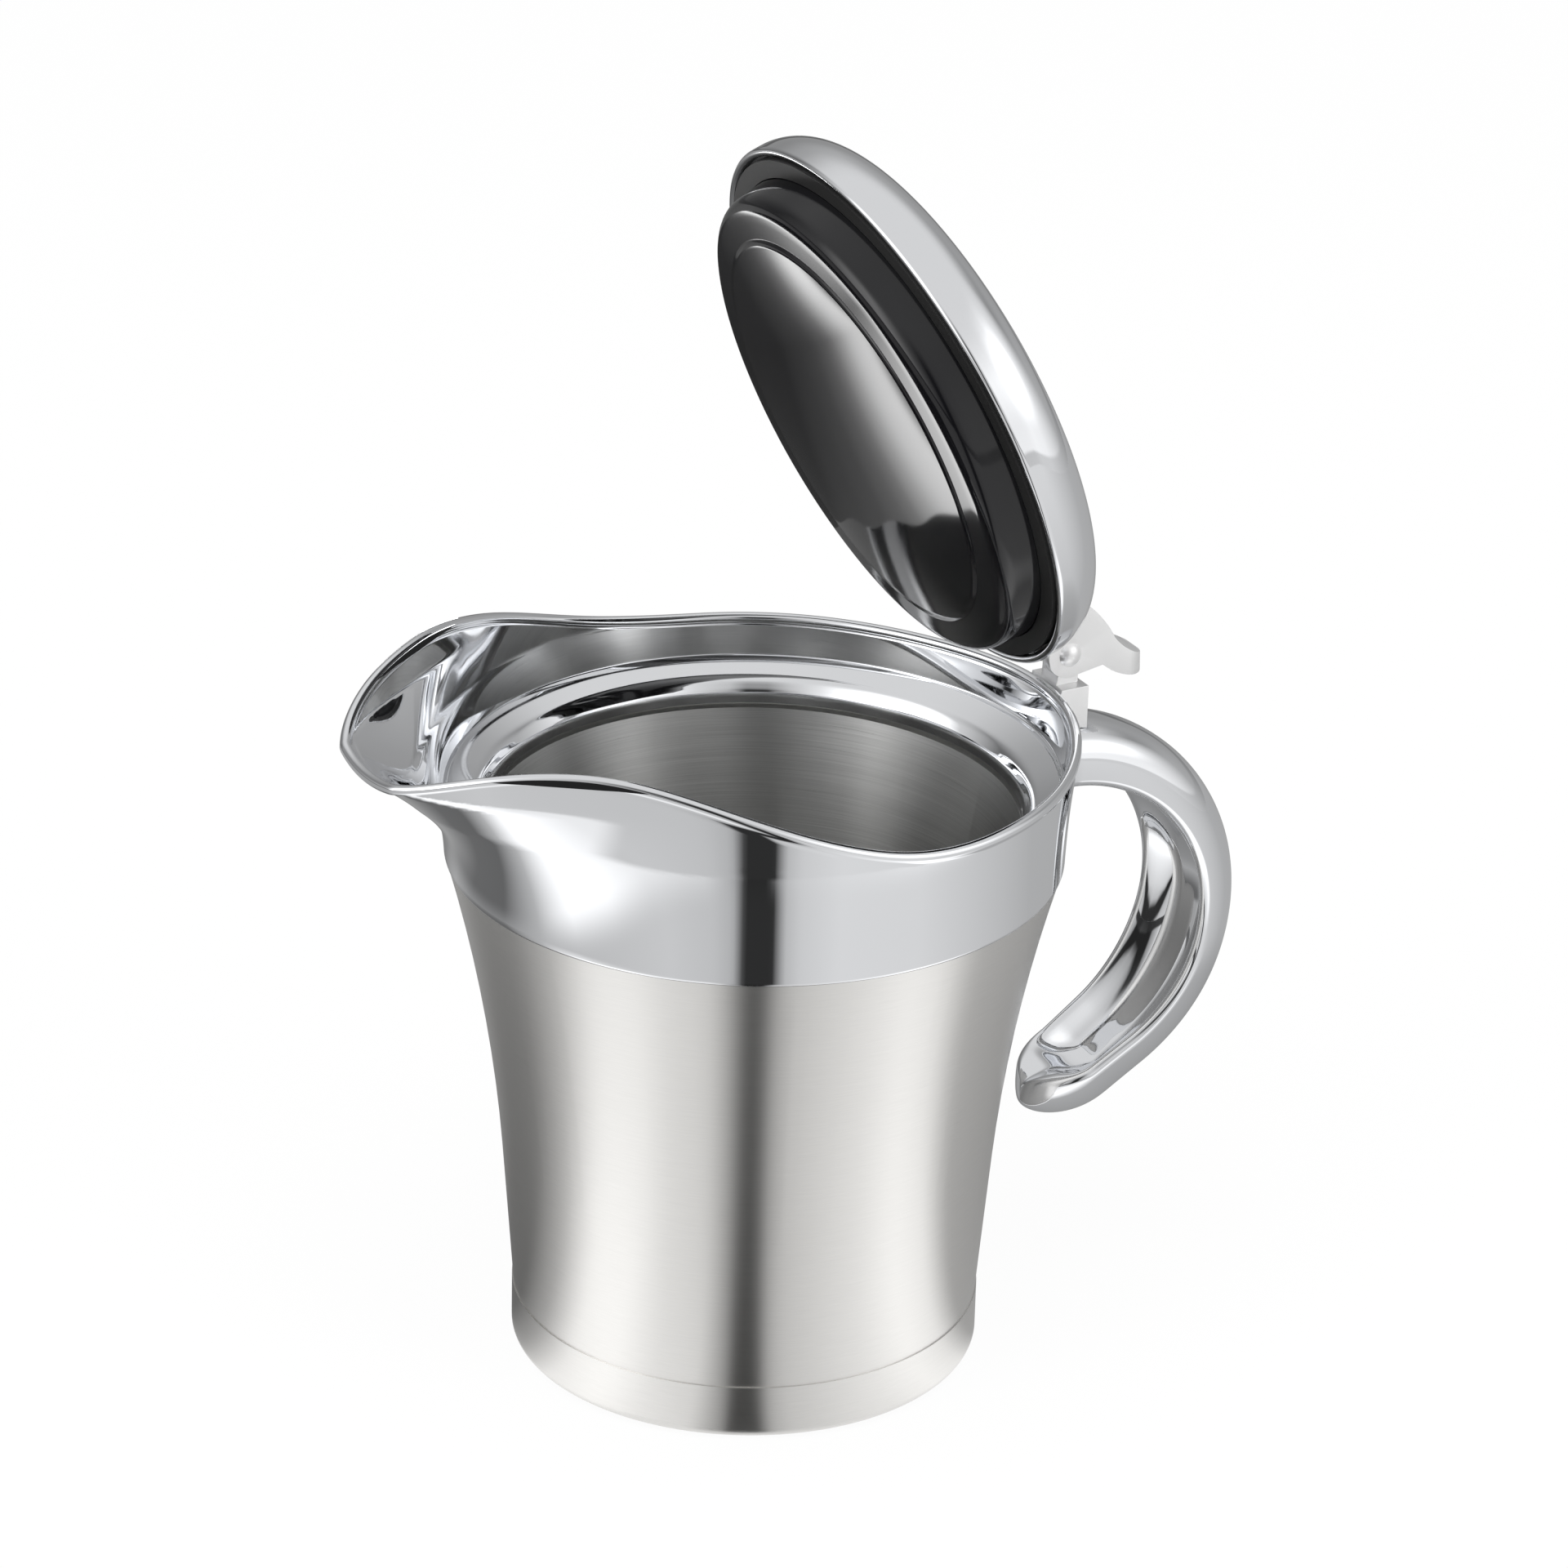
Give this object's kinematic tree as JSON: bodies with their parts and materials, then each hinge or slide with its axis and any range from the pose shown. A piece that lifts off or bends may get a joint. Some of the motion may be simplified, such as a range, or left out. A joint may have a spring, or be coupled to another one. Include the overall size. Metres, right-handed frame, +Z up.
{
  "type": "insulated sauce jug",
  "caption": "Double-walled stainless sauce jug with a wide pouring spout, an open hook handle and a thumb-lever lid hinged over the handle.",
  "frame": {"origin": "centre of the round base, on the plane that the jug stands on", "axes": "+Z up along the cup's axis, spout towards -X, handle and hinge towards +X, hinge axis along +Y"},
  "size_m": [0.1682, 0.1074, 0.2133],
  "materials": {
    "brushed_body": "circumferential brushing, satin",
    "brushed_liner": "spun brushing, satin",
    "mirror_chrome": "mirror polish",
    "satin_hinge": "fine satin",
    "black_plug": "high gloss black",
    "black_seal": "smooth black rubber",
    "clear_gasket": "translucent silicone",
    "washer_plastic": "plain"
  },
  "bodies": {
    "jug": {"outer_shell": "brushed_body", "base_cap": "brushed_body", "inner_liner": "brushed_liner", "liner_gasket": "clear_gasket", "spout_collar": "mirror_chrome", "handle": "mirror_chrome", "hinge_bracket": "satin_hinge", "hinge_washers": "washer_plastic"},
    "lid": {"lid_shell": "mirror_chrome", "lid_plug": "black_plug", "lid_seal": "black_seal", "thumb_lever": "satin_hinge", "hinge_pin": "satin_hinge"}
  },
  "joints": [
    {"name": "lid_hinge", "type": "hinge", "parent": "jug", "child": "lid", "pos_m": [0.0577, 0, 0.1178], "axis": [0, 1, 0], "range_deg": [-69, 12]}
  ]
}
